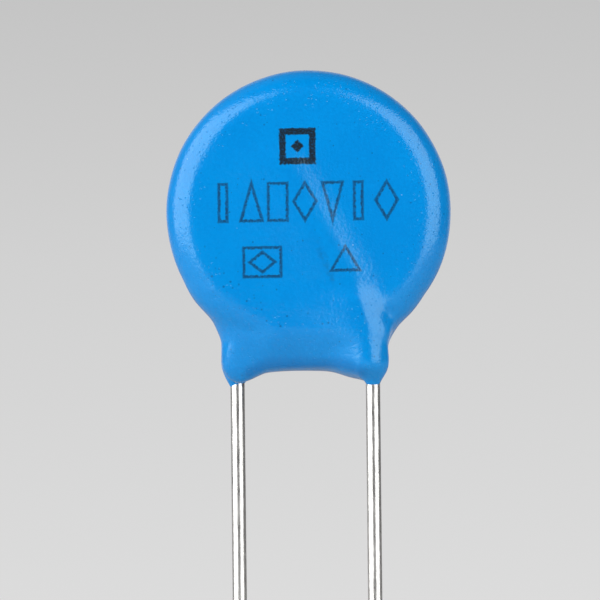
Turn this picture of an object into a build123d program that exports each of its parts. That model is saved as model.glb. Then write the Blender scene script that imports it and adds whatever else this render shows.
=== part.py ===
"""Metal-oxide varistor with a 14 mm disc and radial leads.

A zinc oxide disc carries a fired silver electrode on each face. A tinned copper lead is soldered to
each electrode, slants down across its face and leaves the part below, and a blue epoxy dip coat
holds everything together. Millimetres. Z is up and the leads point down. The origin is on the
seating plane, where the coat ends, midway between the two leads. The front face looks along -Y.
The rear lead and its solder are the front ones turned half round the Z axis.
"""

import os
from math import asin, degrees, sqrt

from build123d import *

os.makedirs("parts", exist_ok=True)

# leads
lead_pitch = 7.5  # between the two leads, across the part
lead_draw_in = 0.1  # the leads end this much closer together, front to back, than the disc's faces
wire_d = 0.8
lead_length = 25.0  # below the seating plane
kink_height = 0.15  # where the straight lead leans out towards its face of the disc
slant_rise = 8.2
slant_run = 4.42
kink_radius = 1.5
knee_radius = 1.2

# disc and electrodes
disc_d = 14.0
disc_thickness = 2.9
disc_edge = 0.15
disc_shift = 0.3  # the disc sits a little off the leads' midline
disc_standoff = 2.66  # its lower edge over the seating plane
electrode_margin = 0.7  # bare ceramic round the silver
electrode_thickness = 0.03

# solder
solder_film = 0.05  # between the silver and the wire
solder_width = 2.0
solder_rise = 0.5
solder_length = 4.2
solder_overrun = 0.4  # past the end of the wire

# coat
coat_rim = 0.88
coat_face = 0.7
rim_round = 1.6
waist_reach = 2.97  # from a leg's axis out to the middle of the shoulder's arc under the disc
web_top_drop = 2.0  # the web's top edge, inside the disc, below the disc's middle
web_draw_in = 0.7  # the web is this much thinner than the disc
web_edge = 0.9
web_corner_height = 0.9  # where the web's lower corners would be if they were sharp
web_corner_round = 1.0
web_sink = 0.02  # the web's outline stays this far inside the disc's rim
web_height = 0.81  # underside of the web where the arch ends
arch_start = 1.7  # from a leg's axis to the flat of the arch
arch_foot = 0.35  # from a leg's axis to the foot of the arch
arch_foot_height = 0.4
leg_cover = 0.47  # coat over the wire, down the leg and over the knee
leg_swell = 0.05  # the drop near the leg's end
leg_swell_height = 1.0
leg_swell_end = 2.4  # the leg is straight from here up
leg_tip_cover = 0.07
leg_tip_height = 0.1
ridge_end_cover = 0.1  # coat over the end of the wire
web_blend = 1.0
leg_blend = 0.3

wire_r = wire_d / 2
lead_x = lead_pitch / 2
lead_y = -(disc_thickness - lead_draw_in) / 2
disc_height = disc_standoff + disc_d / 2
disc_dip = sqrt((disc_d / 2) ** 2 - (lead_x - disc_shift) ** 2)
knee_height = round(disc_height - disc_dip, 2)  # where the lead meets the disc and turns to slant across it
electrode_face = disc_thickness / 2 + electrode_thickness
wire_seat = electrode_face + solder_film + wire_r
coat_r = disc_d / 2 + coat_rim
leg_r = wire_r + leg_cover
ridge_end_r = wire_r + ridge_end_cover

# corners of the front wire's centre line
kink = Vector(lead_x, lead_y, kink_height)
knee = Vector(lead_x, -wire_seat, knee_height)
wire_end = Vector(lead_x - slant_run, -wire_seat, knee_height + slant_rise)
lean = (knee - kink).normalized()
slant = (wire_end - knee).normalized()
forwards = Vector(0, -1, 0)


with BuildPart() as ceramic_disc:
    with BuildSketch(Plane.XZ):
        with Locations((disc_shift, disc_height)):
            Circle(disc_d / 2)
    extrude(amount=disc_thickness / 2, both=True)
    fillet(ceramic_disc.edges().filter_by(GeomType.CIRCLE), disc_edge)

with BuildPart() as front_electrode:
    with BuildSketch(Plane.XZ.offset(disc_thickness / 2)):
        with Locations((disc_shift, disc_height)):
            Circle(disc_d / 2 - electrode_margin)
    extrude(amount=electrode_thickness)

with BuildPart() as rear_electrode:
    with BuildSketch(Plane.XZ.offset(-disc_thickness / 2)):
        with Locations((disc_shift, disc_height)):
            Circle(disc_d / 2 - electrode_margin)
    extrude(amount=-electrode_thickness)

with BuildPart() as front_lead:
    with BuildLine():
        FilletPolyline(
            (lead_x, lead_y, -lead_length),
            kink,
            knee,
            wire_end,
            radius=(kink_radius, knee_radius),
        )
    with BuildSketch(Plane.XY.offset(-lead_length)):
        with Locations((lead_x, lead_y)):
            Circle(wire_r)
    sweep()

with BuildPart() as rear_lead:
    add(front_lead.part, rotation=(0, 0, 180))

# a domed bead along the end of the wire, flat on the silver
bead_start = wire_end + slant * (solder_overrun - solder_length)
bead_origin = Vector(bead_start.X, -electrode_face, bead_start.Z)
with BuildPart() as front_solder:
    with BuildSketch(Plane(bead_origin, x_dir=forwards.cross(slant), z_dir=slant)):
        with BuildLine():
            dome = EllipticalCenterArc((0, 0), solder_width / 2, solder_rise, 0, arc_size=180)
            Line(dome @ 1, dome @ 0)
        make_face()
    extrude(amount=solder_length)
    add(front_lead.part, mode=Mode.SUBTRACT)

with BuildPart() as rear_solder:
    add(front_solder.part, rotation=(0, 0, 180))

# the coat's disc, round at the rim
with BuildPart() as coated_disc:
    with BuildSketch(Plane.XZ):
        with Locations((disc_shift, disc_height)):
            Circle(coat_r)
    extrude(amount=disc_thickness / 2 + coat_face, both=True)
    fillet(coated_disc.edges().filter_by(GeomType.CIRCLE), rim_round)

# the web that the coat leaves between the legs, which widens into the shoulders under the disc
leg_side = lead_x + leg_r
waist_round = waist_reach - leg_r
web_top = disc_height - web_top_drop
with BuildPart() as web:
    with BuildSketch(Plane.XZ) as web_outline:
        with BuildLine():
            arch = Spline(
                (arch_foot - lead_x, arch_foot_height),
                (arch_start - lead_x, web_height),
                (lead_x - arch_start, web_height),
                (lead_x - arch_foot, arch_foot_height),
                tangents=((1, 1), (1, -1)),
            )
            Polyline(
                arch @ 1,
                (leg_side, web_corner_height),
                (leg_side, web_top),
                (-leg_side, web_top),
                (-leg_side, web_corner_height),
                arch @ 0,
            )
        make_face()
        corners = web_outline.vertices().filter_by(lambda p: abs(p.X) > lead_x and p.Y < disc_standoff)
        fillet(corners, web_corner_round)
        with Locations((disc_shift, disc_height)):
            Circle(coat_r - web_sink)
        waists = web_outline.vertices().filter_by(lambda p: disc_standoff < p.Y < web_top)
        fillet(waists, waist_round)
        with Locations((disc_shift, web_top)):
            Rectangle(2 * coat_r, 2 * coat_r, align=(Align.CENTER, Align.MIN), mode=Mode.SUBTRACT)
    extrude(amount=(disc_thickness - web_draw_in) / 2, both=True)
    rims = web.faces().filter_by(Axis.Y).edges().filter_by(lambda edge: edge.center().Z < web_top)
    fillet(rims, web_edge)

# the coat that runs down a leg like a drop, and the ridge over the slanting wire
lean_length = (knee - kink).length
slant_length = (wire_end - knee).length
leg_tip = leg_tip_height - kink_height
taper = degrees(asin((leg_r - ridge_end_r) / slant_length))
with BuildPart() as leg_and_ridge:
    with BuildSketch(Plane(kink, x_dir=(1, 0, 0), z_dir=Vector(1, 0, 0).cross(lean))):
        with BuildLine():
            skin = Spline(
                (wire_r + leg_tip_cover, leg_tip),
                (leg_r + leg_swell, leg_swell_height),
                (leg_r, leg_swell_end),
                tangents=((1, 2), (0, 1)),
            )
            Line(skin @ 1, (leg_r, lean_length))
            cap = CenterArc((0, lean_length), leg_r, 0, 90)
            Polyline(cap @ 1, (0, leg_tip), skin @ 0)
        make_face()
    revolve(axis=Axis(kink, lean))
    with BuildSketch(Plane(knee, x_dir=forwards, z_dir=forwards.cross(slant))):
        with BuildLine():
            root = CenterArc((0, 0), leg_r, -90, 90 + taper)
            tip = CenterArc((0, slant_length), ridge_end_r, taper, 90 - taper)
            Line(root @ 1, tip @ 0)
            Line(tip @ 1, root @ 0)
        make_face()
    revolve(axis=Axis(knee, slant))

with BuildPart() as epoxy_coating:
    add(coated_disc.part)
    add(web.part)
    joins = new_edges(coated_disc.part, web.part, combined=epoxy_coating.part)
    fillet(joins, web_blend)
    body = epoxy_coating.part
    front = leg_and_ridge.part
    rear = front.rotate(Axis.Z, 180)
    add(front)
    add(rear)
    joins = new_edges(body, front, rear, combined=epoxy_coating.part)
    fillet(joins, leg_blend)
    # the coat is hollow just where the inner pieces and the wires are
    for inner in (ceramic_disc, front_electrode, rear_electrode):
        add(inner.part, mode=Mode.SUBTRACT)
    for inner in (front_lead, rear_lead, front_solder, rear_solder):
        add(inner.part, mode=Mode.SUBTRACT)

nodes = {
    "ceramic_disc": ceramic_disc,
    "front_electrode": front_electrode,
    "rear_electrode": rear_electrode,
    "front_lead": front_lead,
    "rear_lead": rear_lead,
    "front_solder": front_solder,
    "rear_solder": rear_solder,
    "epoxy_coating": epoxy_coating,
}
for name, node in nodes.items():
    node.part.label = name
    export_step(node.part, f"parts/{name}.step")
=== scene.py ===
import math

import bmesh
import bpy
from mathutils import Matrix, Vector, noise


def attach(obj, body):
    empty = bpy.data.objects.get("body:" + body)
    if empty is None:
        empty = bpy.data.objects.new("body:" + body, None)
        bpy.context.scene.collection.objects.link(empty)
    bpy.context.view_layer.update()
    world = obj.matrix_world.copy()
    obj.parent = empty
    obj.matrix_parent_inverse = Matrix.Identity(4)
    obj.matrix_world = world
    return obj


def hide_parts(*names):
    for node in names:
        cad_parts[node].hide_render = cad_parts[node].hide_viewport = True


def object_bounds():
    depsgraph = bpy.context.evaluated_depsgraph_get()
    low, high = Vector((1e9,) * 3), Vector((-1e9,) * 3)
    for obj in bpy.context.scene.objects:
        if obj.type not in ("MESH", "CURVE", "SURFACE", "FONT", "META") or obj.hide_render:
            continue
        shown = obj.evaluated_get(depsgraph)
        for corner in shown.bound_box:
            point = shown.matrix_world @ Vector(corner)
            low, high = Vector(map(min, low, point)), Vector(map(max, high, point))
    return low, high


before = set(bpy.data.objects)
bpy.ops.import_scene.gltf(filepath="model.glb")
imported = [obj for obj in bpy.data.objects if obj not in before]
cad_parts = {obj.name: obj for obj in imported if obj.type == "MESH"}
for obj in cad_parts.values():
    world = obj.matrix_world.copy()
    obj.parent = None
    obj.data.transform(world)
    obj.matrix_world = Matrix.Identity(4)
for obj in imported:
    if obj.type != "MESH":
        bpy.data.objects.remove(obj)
cad_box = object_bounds()


# --- Disc and its silver faces ------------------------------------------------------------------------
# The disc is pressed from zinc oxide powder and sintered, which leaves it dark grey and granular. A
# layer of silver paste is fired onto each of its faces.

MM = 0.001  # a millimetre in the scene's metres


class Signal:
    """The output of a shader node. Sums and products of signals add the Math nodes they need."""

    def __init__(self, tree, socket):
        self.tree = tree
        self.socket = socket

    def node(self, kind, settings=None, inputs=None, out=0):
        """A new node's output. A ramp's stops are among its settings."""
        made = self.tree.nodes.new("ShaderNode" + kind)
        for key, value in (settings or {}).items():
            if key == "stops":
                for stop, (place, colour) in enumerate(value):
                    if stop > 1:
                        made.color_ramp.elements.new(place)
                    made.color_ramp.elements[stop].position = place
                    made.color_ramp.elements[stop].color = (*colour, 1)
            else:
                setattr(made, key, value)
        for key, value in (inputs or {}).items():
            if isinstance(value, Signal):
                self.tree.links.new(value.socket, made.inputs[key])
            else:
                made.inputs[key].default_value = value
        return Signal(self.tree, made.outputs[out])

    def output(self, number):
        """Another output of the node that this signal comes from."""
        return Signal(self.tree, self.socket.node.outputs[number])

    def math(self, operation, *others):
        return self.node("Math", {"operation": operation}, dict(enumerate((self, *others))))

    def __add__(self, other):
        return self.math("ADD", other)

    __radd__ = __add__

    def __mul__(self, other):
        return self.math("MULTIPLY", other)

    __rmul__ = __mul__

    def __sub__(self, other):
        return self.math("SUBTRACT", other)

    def __rsub__(self, other):
        return self.node("Math", {"operation": "SUBTRACT"}, {0: other, 1: self})

    def __abs__(self):
        return self.math("ABSOLUTE")

    def most(self, other):
        return self.math("MAXIMUM", other)

    def between(self, low, high):
        """0 below low, 1 above high and smooth between; low may be the larger one."""
        limits = {0: self, 1: low, 2: high, 3: 0.0, 4: 1.0}
        return self.node("MapRange", {"interpolation_type": "SMOOTHSTEP"}, limits)

    def mix(self, first, second):
        """The first colour where this is 0, and the second where it is 1."""
        return self.node("Mix", {"data_type": "RGBA"}, {0: self, 6: first, 7: second}, out=2)


def start_material(name):
    """A new material, its surface, and the place on the piece in millimetres."""
    material = bpy.data.materials.new(name)
    material.use_nodes = True
    tree = material.node_tree
    surface = tree.nodes["Principled BSDF"]
    metres = Signal(tree, tree.nodes.new("ShaderNodeTexCoord").outputs["Object"])
    place = metres.node("VectorMath", {"operation": "SCALE"}, {0: metres, 3: 1 / MM})
    return material, surface, place


def feed(surface, socket, value):
    """Link a signal to a socket of the surface, or set the socket to a plain value."""
    if isinstance(value, Signal):
        value.tree.links.new(value.socket, surface.inputs[socket])
    else:
        surface.inputs[socket].default_value = value


def grain(place, scale, detail):
    return place.node("TexNoise", None, {"Vector": place, "Scale": scale, "Detail": detail})


def finish(material, *names):
    """Give the named pieces of the frame this material alone."""
    for name in names:
        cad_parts[name].data.materials.clear()
        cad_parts[name].data.materials.append(material)


ceramic, surface, place = start_material("zinc_oxide")
crystals = place.node("TexVoronoi", {"feature": "F1"}, {"Vector": place, "Scale": 12.0})
crystal_grey = crystals.between(0.0, 0.6).mix((0.03, 0.035, 0.035, 1), (0.06, 0.065, 0.06, 1))
feed(surface, "Base Color", crystal_grey)
feed(surface, "Roughness", 0.7)
finish(ceramic, "ceramic_disc")

silver, surface, place = start_material("fired_silver")
silver_white = grain(place, 3.0, 4.0).between(0.3, 0.7).mix((0.7, 0.69, 0.66, 1), (0.8, 0.79, 0.77, 1))
feed(surface, "Base Color", silver_white)
feed(surface, "Metallic", 1.0)
feed(surface, "Roughness", 0.45)
finish(silver, "front_electrode", "rear_electrode")


# --- Leads ------------------------------------------------------------------------------------------
# Two round copper wires, dipped in tin, which is bright but drawn into fine streaks along the wire.
# Each lies aslant on its own face of the disc and runs straight down to the board.

streak_depth = 0.014

tinned, surface, place = start_material("tinned_copper")
along = place.node("Mapping", None, {"Vector": place, "Scale": (5.0, 5.0, 0.8)})
streaks = grain(along, 1.0, 4.0)
bump = place.node("Bump", None, {"Height": streaks * (streak_depth * MM), "Strength": 1.0, "Distance": 1.0})
feed(surface, "Base Color", (0.82, 0.81, 0.79, 1))
feed(surface, "Metallic", 1.0)
feed(surface, "Roughness", streaks * 0.3 + 0.16)
feed(surface, "Normal", bump)
finish(tinned, "front_lead", "rear_lead")


# --- Solder beads -----------------------------------------------------------------------------------
# A bead of solder holds the upper end of each wire on its silver face. It sets with a bright, slightly
# uneven skin and is greyer than the tinned wire.

solder, surface, place = start_material("solder")
feed(surface, "Base Color", (0.7, 0.7, 0.69, 1))
feed(surface, "Metallic", 1.0)
feed(surface, "Roughness", grain(place, 2.0, 3.0) * 0.3 + 0.15)
finish(solder, "front_solder", "rear_solder")


# --- Epoxy dip coat ---------------------------------------------------------------------------------
# The part is dipped in blue epoxy powder and cured, which leaves one glossy skin over the disc, the
# soldered wires and the start of each lead. Liquid epoxy pulls every inner corner into a soft fillet,
# hangs as a web between the legs and runs out to nothing on the wires.

# millimetres: heights are over the seating plane, and levels over the middle plane between the faces
skin_cell = 0.1
wire_stub = 0.5  # of each wire that the skin is grown round, below the seating plane
disc_x, disc_z = 0.3, 9.66
flat_radius = 6.28  # of the disc's face, inside its round rim
rim_round = 1.6
face_level = 2.15
ridge_swell = 0.28
knee_swell = 0.29  # more than the ridge's, where the wire turns down into the leg
outer_flank = 0.78
inner_flank = 2.6
leg_x = 3.5  # of the crest down the leg
leg_level = 2.72
leg_round = 1.12
knee_height = 4.0
knee_round = 0.6
ridge_lean = 0.539  # sideways for each millimetre up
web_level = 0.9  # at the web's lower edge
lead_x = 3.75
lowest_web = 0.14
tip_rise = 0.13  # the coat's ends are drawn this far up the wires
waviness = 0.025


def solid_copy(names):
    """One bmesh of the named nodes in millimetres, with their doubles merged."""
    solid = bmesh.new()
    for name in names:
        solid.from_mesh(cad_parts[name].data)
    bmesh.ops.scale(solid, vec=(1 / MM, 1 / MM, 1 / MM), verts=solid.verts)
    bmesh.ops.remove_doubles(solid, verts=solid.verts, dist=1e-4)
    return solid


def make_object(name, shape):
    """Put a finished bmesh in the scene as an object at the origin."""
    mesh = bpy.data.meshes.new(name)
    shape.to_mesh(mesh)
    shape.free()
    made = bpy.data.objects.new(name, mesh)
    bpy.context.scene.collection.objects.link(made)
    return made


def apply_modifiers(piece):
    """Keep the mesh that the piece's modifiers make, without the modifiers."""
    graph = bpy.context.evaluated_depsgraph_get()
    finished = bpy.data.meshes.new_from_object(piece.evaluated_get(graph))
    rough_mesh = piece.data
    piece.modifiers.clear()
    piece.data = finished
    bpy.data.meshes.remove(rough_mesh)


# the coat and all that it covers, as one closed form without the inner walls
covered = solid_copy([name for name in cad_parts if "lead" not in name])
wires = solid_copy(["front_lead", "rear_lead"])
cut = bmesh.ops.bisect_plane(
    wires,
    geom=wires.verts[:] + wires.edges[:] + wires.faces[:],
    plane_co=(0, 0, -wire_stub),
    plane_no=(0, 0, 1),
    clear_inner=True,
)
wire_ends = [edge for edge in cut["geom_cut"] if isinstance(edge, bmesh.types.BMEdge)]
bmesh.ops.holes_fill(wires, edges=wire_ends, sides=0)
wire_mesh = bpy.data.meshes.new("wires")
wires.to_mesh(wire_mesh)
wires.free()
covered.from_mesh(wire_mesh)
bpy.data.meshes.remove(wire_mesh)
coat = make_object("dip_coat", covered)
skin = coat.modifiers.new("skin", "REMESH")
skin.mode = "VOXEL"
skin.voxel_size = skin_cell
apply_modifiers(coat)

shell = bmesh.new()
shell.from_mesh(coat.data)


def ease(value, low, high):
    """0 before low, 1 past high and smooth between; low may be the larger one."""
    share = min(1.0, max(0.0, (value - low) / (high - low)))
    return share * share * (3 - 2 * share)


def flow(verts, turns, axes="xyz"):
    """Let the liquid coat pull its corners round along these axes, a little at each turn."""
    used = {"use_axis_" + axis: axis in axes for axis in "xyz"}
    for turn in range(turns):
        bmesh.ops.smooth_vert(shell, verts=verts, factor=0.5, **used)


def pool(verts, turns):
    """Fill the inner corners: smooth a little, then take back what sank inwards."""
    for turn in range(turns):
        before = [vert.co.copy() for vert in verts]
        flow(verts, 4)
        shell.normal_update()
        for vert, old in zip(verts, before):
            vert.co = old.lerp(vert.co, ease(old.z, -0.05, 0.35))
            sunk = min(0.0, (vert.co - old).dot(vert.normal))
            vert.co -= vert.normal * sunk


def crest(z):
    """Where the swelling over the wire is highest: straight down the leg, and aslant above the knee."""
    above = z - knee_height
    return leg_x - ridge_lean * (above + math.hypot(above, knee_round)) / 2


def disc_skin(x, z):
    """The level of the disc's own skin, which is flat and then round at the rim."""
    past = min(1.5, max(0.0, math.hypot(x - disc_x, z - disc_z) - flat_radius))
    return face_level - rim_round + math.sqrt(rim_round**2 - past**2)


def ridge_skin(x, z, side):
    """The level with the swelling over the wire, which falls off faster on its outer flank."""
    beside = (-side * x - crest(z)) * (1 - 0.12 * ease(z, 3.4, 4.6))
    swell = (ridge_swell + knee_swell * ease(z, 5.9, 4.3)) * ease(z, 14.0, 12.0)
    width = outer_flank + 0.5 * ease(z, 4.7, 6.3) if beside > 0 else inner_flank
    return disc_skin(x, z) + swell * math.exp(-((beside / width) ** 2))


def web_skin(across, z):
    """The level of the web, which thickens upwards and is fuller beside this side's own wire."""
    full = ease(across, -1.0, 1.5)
    foot = -0.3 * full - 0.9 * ease(across, 1.4, 2.4)
    level = web_level + (face_level - web_level) * ease(z, foot, 3.4 - 0.6 * full)
    return level * (1 - 0.25 * ease(across, -1.5, -3.8))


def leg_skin(x, z, side):
    """The level across a leg: one soft slope out of the web, and round on the outside."""
    across = -side * x
    aside = across - crest(z)
    top = leg_level - 0.7 * ease(z, 1.1, 0.3)
    if aside < 0:
        web = web_skin(across, z)
        slope_width = 1.5 + 1.1 * ease(z, 2.2, 3.4)
        return web + (top - web) * math.exp(-((aside / slope_width) ** 2))
    level = top - leg_round + math.sqrt(max(0.0, leg_round**2 - aside**2))
    return level + (ridge_skin(x, z, side) - level) * ease(z, 3.5, 4.6)


def leg_share(across, z, facing):
    """How much of that level the skin takes: none on the disc, the arch, the sides and the other leg."""
    aside = across - crest(z)
    wide = ease(z, 3.2, 4.2)
    facing += 0.5 * ease(aside, -2.0, -1.2) * ease(aside, 0.0, -0.5)
    upright = ease(z, 0.5, 1.3) * ease(z, 5.0, 4.2)
    sideways = ease(across, -4.5, -3.6) * ease(aside, 1.08 + 0.9 * wide, 0.85 + 0.7 * wide)
    return upright * sideways * ease(facing, 0.1, 0.5)


def off_wire(x, y):
    """How far a point lies from the middle plane, towards the side of its leg that has no wire."""
    return y if x > 0 else -y


flow(shell.verts, 2)
pool([vert for vert in shell.verts if vert.co.z < 6.4], 45)

# over the disc the skin lies level, and it only swells a little where a wire runs under it
for vert in shell.verts:
    x, y, z = vert.co
    side = -1 if y < 0 else 1
    radius = math.hypot(x - disc_x, z - disc_z)
    if abs(y) > 1.9 and radius < 7.0:
        vert.co.y += (side * ridge_skin(x, z, side) - y) * ease(radius, 6.9, 5.8)

# the coat runs down from the disc's face into the web and round each leg
shell.normal_update()
for vert in shell.verts:
    x, y, z = vert.co
    side = -1 if y < 0 else 1
    across = -side * x
    change = leg_skin(x, z, side) - abs(y)
    # far from the leg the skin is let out, but never drawn in
    if change < 0:
        change *= ease(across - crest(z), -2.4, -1.2)
    vert.co.y += side * change * leg_share(across, z, side * vert.normal.y)

# the arch hangs lower towards the legs, and the coat's ends are drawn a little up the wires
for vert in shell.verts:
    x, y, z = vert.co
    sag = 0.3 * ease(x, 1.2, 2.8) + 0.36 * ease(-x, 2.2, 3.2)
    bare = max(ease(abs(x), 3.3, 2.9), ease(off_wire(x, y), -0.9, -0.1))
    if z > lowest_web:
        vert.co.z = max(lowest_web, z - sag * bare * ease(z, 1.7, 0.9))
    slant = 0.0 if x > 0 else 0.3 * (x + lead_x)
    vert.co.z += (tip_rise + slant) * ease(z, 0.8, 0.3)

# liquid fills the corners at the legs, and the web's ends lean back to the wires
pool([vert for vert in shell.verts if vert.co.z < 1.6 and abs(vert.co.x) > 2.2], 110)
ends = [vert for vert in shell.verts if 0.3 < vert.co.z < 1.8 and abs(vert.co.x) > 2.6]
ends = [vert for vert in ends if off_wire(*vert.co.xy) > -1.2]
flow(ends, 80, axes="y")
# each pass reaches less high than the one before, so that the legs join the disc without a step
for step in range(16):
    flow([vert for vert in shell.verts if vert.co.z < 5.0 - 0.08 * step], 1)
flow([vert for vert in shell.verts if 2.2 < vert.co.z < 5.2 and abs(vert.co.x) > 3.4], 24)
flow([vert for vert in ends if 0.25 < vert.co.z < 1.1 and off_wire(*vert.co.xy) > -0.9], 24)
flow(shell.verts, 8)

# the shoulders stand out a little more than the arcs between the disc and the legs
for vert in shell.verts:
    x, y, z = vert.co
    if x < 0:
        vert.co.x -= 0.16 * ease(-x, 3.5, 4.6) * ease(z, 2.4, 3.4) * ease(z, 6.2, 4.6)
    else:
        vert.co.x += 0.14 * ease(x, 3.5, 4.6) * ease(z, 2.2, 3.2) * ease(z, 5.2, 3.8)

# no dipped skin is quite flat
for vert in shell.verts:
    vert.co += vert.normal * waviness * noise.noise(vert.co * 0.4)
bmesh.ops.scale(shell, vec=(MM, MM, MM), verts=shell.verts)
shell.to_mesh(coat.data)
shell.free()
for face in coat.data.polygons:
    face.use_smooth = True

epoxy, surface, place = start_material("blue_epoxy")
x = place.node("SeparateXYZ", None, {0: place})
y = x.output(1)
z = x.output(2)
front_face = y.between(-1.7, -1.9)
radius_squared = (x - disc_x) * (x - disc_x) + (z - disc_z) * (z - disc_z)
cloud = (grain(place, 0.35, 3.0) + grain(place, 6.0, 2.0)).between(0.75, 1.25)
shade = cloud.mix((0.0, 0.25, 0.7, 1), (0.0, 0.276, 0.745, 1))

# the printing on the front, as plain shapes, each a distance from its own edge
tilted = z - x * 0.009
rough_edge = (grain(place, 9.0, 2.0) - 0.5) * 0.16


def box(middle_x, middle_z, half_width, half_height):
    return (abs(x - middle_x) - half_width).most(abs(tilted - middle_z) - half_height)


def diamond(middle_x, middle_z, half_width, half_height):
    slope = half_width / half_height
    beyond = abs(x - middle_x) + abs(tilted - middle_z) * slope - half_width
    return beyond * (1 / math.hypot(1, slope))


def wedge(middle_x, middle_z, half_width, half_height, up):
    slope = half_width / half_height / 2
    rise = (tilted - middle_z) * up
    beyond = abs(x - middle_x) + rise * slope - half_width / 2
    return (beyond * (1 / math.hypot(1, slope))).most(rise * -1 - half_height)


def stroke(field, half_width):
    return abs(field + rough_edge).between(half_width + 0.05, half_width - 0.03)


row_z = 10.25
row_half = 1.02
mark_x, mark_z = -2.28, 6.95
emblem_x, emblem_z = -0.29, 13.3
line_half = 0.07
outlines = [
    box(-4.42, row_z, 0.22, row_half),
    wedge(-2.85, row_z, 0.6, row_half, 1),
    box(-1.4, row_z, 0.52, row_half),
    diamond(0.1, row_z, 0.62, row_half),
    wedge(1.62, row_z, 0.55, row_half, -1),
    box(3.04, row_z, 0.22, row_half),
    diamond(4.6, row_z, 0.6, row_half),
    box(mark_x, mark_z, 1.02, 0.8),
    diamond(mark_x, mark_z, 0.7, 0.55),
    wedge(2.3, 7.08, 0.78, 0.66, 1),
]
ink = stroke(outlines[0], line_half)
for outline in outlines[1:]:
    ink = ink.most(stroke(outline, line_half))
ink_cover = 0.7 + 0.3 * grain(place, 9.0, 1.0).between(0.35, 0.6)
shade = (ink * front_face * ink_cover).mix(shade, (0.007, 0.07, 0.19, 1))
emblem = stroke(box(emblem_x, emblem_z, 0.82, 0.82), 0.17)
emblem = emblem.most((diamond(emblem_x, emblem_z, 0.36, 0.36) + rough_edge).between(0.04, -0.04))
emblem_cover = 0.8 + 0.2 * grain(place, 14.0, 1.0).between(0.3, 0.5)
shade = (emblem * front_face * emblem_cover).mix(shade, (0.012, 0.022, 0.035, 1))


def specks(scale, radius, share):
    """Round dots of about this radius, in this share of the pattern's cells."""
    cells = place.node("TexVoronoi", {"feature": "F1"}, {"Vector": place, "Scale": scale})
    lot = cells.output(1)
    chosen = lot.node("SeparateColor", None, {0: lot}).between(1 - share, 1.02 - share)
    return cells.between(radius * scale, radius * scale * 0.4) * chosen


# dust that was caught in the coat, pale specks that are partly flecks and partly painted glints,
# a painted shade in the crease beside the ridge, a painted shade band above the web's lower edge, and
# darker dots at the lower left rim
dust = specks(1.5, 0.07, 0.5).most(specks(3.1, 0.045, 0.3))
# pale blue specks painted into the colour: partly pale flecks in the coat, partly painted glints
pale_specks_and_glints = specks(1.1, 0.05, 0.05)
# a painted shade along the crease at the left foot of the ridge
crease_x, crease_z = 1.24, 6.82
crease_across = (x - crease_x) * 0.926 + (z - crease_z) * 0.378
crease_along = (z - crease_z) * 0.926 - (x - crease_x) * 0.378
ragged_across = crease_across + (grain(place, 1.5, 3.0) - 0.5) * 0.5
painted_crease_shade = abs(ragged_across).between(0.3, 0.0) * abs(crease_along).between(1.8, 0.6)
painted_crease_shade = painted_crease_shade * grain(place, 4.0, 3.0).between(0.3, 0.7) * front_face
# a painted shade band just above the web's lower edge, where the skin turns under
band_height = z + abs(x).between(1.9, 3.4) * 0.5
painted_shade_band = band_height.between(0.95, 1.2) * band_height.between(1.85, 1.4) * abs(x).between(3.6, 3.0)
# darker dots, gathered in a band at the lower left rim
lower_left_dots = radius_squared.between(26.0, 34.0) * radius_squared.between(52.0, 40.0)
lower_left_dots = lower_left_dots * (x * 0.6 + z).between(5.6, 3.4) * specks(2.6, 0.09, 0.6)
dark_speck_blue = (0.004, 0.06, 0.2, 1)
shade = (dust * 0.55).mix(shade, dark_speck_blue)
# pale specks: partly flecks, partly painted glints
shade = (pale_specks_and_glints * 0.5).mix(shade, (0.35, 0.66, 0.95, 1))
# painted shade in the crease beside the ridge
shade = (painted_crease_shade * 0.4).mix(shade, (0.006, 0.09, 0.27, 1))
# painted shade band above the web's lower edge
shade = (painted_shade_band * 0.4).mix(shade, (0.0, 0.13, 0.45, 1))
shade = (lower_left_dots * 0.6).mix(shade, dark_speck_blue)

pits = specks(5.0, 0.05, 0.5) * radius_squared.between(30.0, 40.0)
height = grain(place, 1.6, 3.0) * 0.016 + grain(place, 6.5, 2.0) * 0.016 - pits * 0.02
bump = place.node("Bump", None, {"Height": height * MM, "Strength": 1.0, "Distance": 1.0})
feed(surface, "Base Color", shade)
feed(surface, "Roughness", 0.2)
feed(surface, "IOR", 1.6)
feed(surface, "Specular Tint", (0.7, 1.0, 1.0, 1))
feed(surface, "Normal", bump)
coat.data.materials.clear()
coat.data.materials.append(epoxy)
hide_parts("epoxy_coating")
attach(coat, "root")


# --- Studio -------------------------------------------------------------------------------------------
# A round pale table under the leads, a large soft lamp at each side and a pale grey room behind, seen
# by a camera with a long lens that looks straight at the front.

table_radius = 0.22
table_y = 0.06
table_gap = 0.0001
lamp_distance = 0.45
lamp_aim = Vector((0, 0, 0.008))
camera_distance = 0.4
view_width = 0.03324
camera_x, camera_z = -0.00023, 0.00482
camera_roll = 0.6

table_top = bmesh.new()
bmesh.ops.create_circle(table_top, cap_ends=True, segments=96, radius=table_radius)
bmesh.ops.translate(table_top, vec=(0, table_y, cad_box[0].z - table_gap), verts=table_top.verts)
table = make_object("table", table_top)
pale, surface, place = start_material("pale_table")
mottled = grain(place, 0.05, 2.0).between(0.2, 0.8)
feed(surface, "Base Color", mottled.mix((0.66, 0.66, 0.655, 1), (0.69, 0.69, 0.685, 1)))
feed(surface, "Roughness", 0.6)
table.data.materials.append(pale)


def span(degrees):
    """The size of a lamp that takes up this angle, seen from the object."""
    return 2 * lamp_distance * math.tan(math.radians(degrees / 2))


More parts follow.
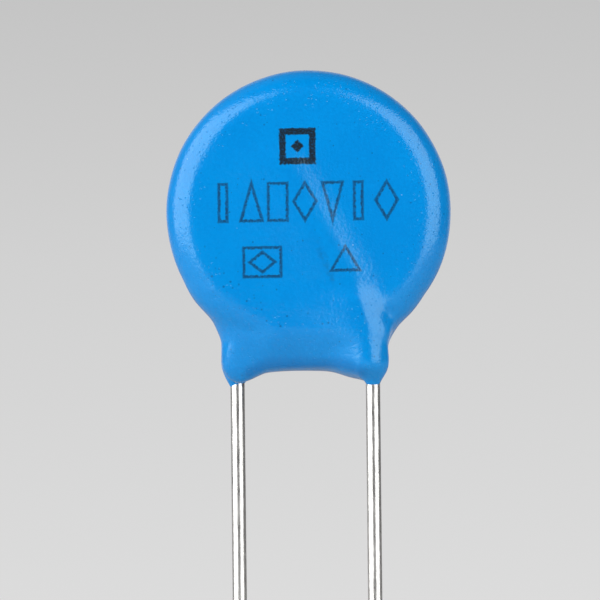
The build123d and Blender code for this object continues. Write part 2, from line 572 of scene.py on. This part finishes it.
def soft_lamp(name, azimuth, elevation, width, height, radiance):
    lamp = bpy.data.lights.new(name, "AREA")
    lamp.shape = "RECTANGLE"
    lamp.size = width
    lamp.size_y = height
    lamp.energy = radiance * math.pi * width * height
    holder = bpy.data.objects.new(name, lamp)
    turn = math.radians(azimuth)
    rise = math.radians(elevation)
    towards = Vector((math.sin(turn) * math.cos(rise), -math.cos(turn) * math.cos(rise), math.sin(rise)))
    holder.location = lamp_aim + towards * lamp_distance
    holder.rotation_euler = towards.to_track_quat("Z", "Y").to_euler()
    holder.visible_camera = False
    bpy.context.scene.collection.objects.link(holder)


soft_lamp("left_softbox", -60, 18, span(69), span(67), 2.95)
soft_lamp("right_softbox", 49, 16, span(54), span(62), 2.5)


def grey(level):
    return (level, level, level, 1)


# what the camera sees is a backdrop that darkens upwards, and the coat mirrors a dim room
room = bpy.data.worlds.new("room")
room.use_nodes = True
bpy.context.scene.world = room
tree = room.node_tree
direction = Signal(tree, tree.nodes.new("ShaderNodeTexCoord").outputs["Generated"])
sideways = direction.node("SeparateXYZ", None, {0: direction})
depth = sideways.output(1)
rise = sideways.output(2)
greys = {0.0: 0.735, 0.25: 0.693, 0.55: 0.64, 0.7: 0.6, 1.0: 0.525}
stops = [(position, (level,) * 3) for position, level in greys.items()]
backdrop = rise.node("ValToRGB", {"stops": stops}, {0: rise * 9.0 + 0.5})
flanks = sideways.between(-0.5, 0.5).mix(grey(0.17), grey(0.07))
behind_camera = depth.between(-0.3, 0.3).mix(grey(0.004), flanks)
gloom = depth.between(0.6, 0.97).mix(behind_camera, grey(0.6))
camera_ray = direction.node("LightPath")
colour = camera_ray.mix(gloom, backdrop)
tree.links.new(colour.socket, tree.nodes["Background"].inputs["Color"])

camera = bpy.data.cameras.new("camera")
camera.lens = camera.sensor_width * camera_distance / view_width
camera.clip_start = 0.01
camera.clip_end = 10
viewer = bpy.data.objects.new("camera", camera)
viewer.location = (camera_x, -camera_distance, camera_z)
viewer.rotation_euler = Matrix.Rotation(math.radians(90), 3, "X").to_euler()
viewer.rotation_euler.rotate(Matrix.Rotation(math.radians(camera_roll), 3, "Y"))
bpy.context.scene.collection.objects.link(viewer)
bpy.context.scene.camera = viewer
bpy.context.scene.view_settings.view_transform = "Standard"
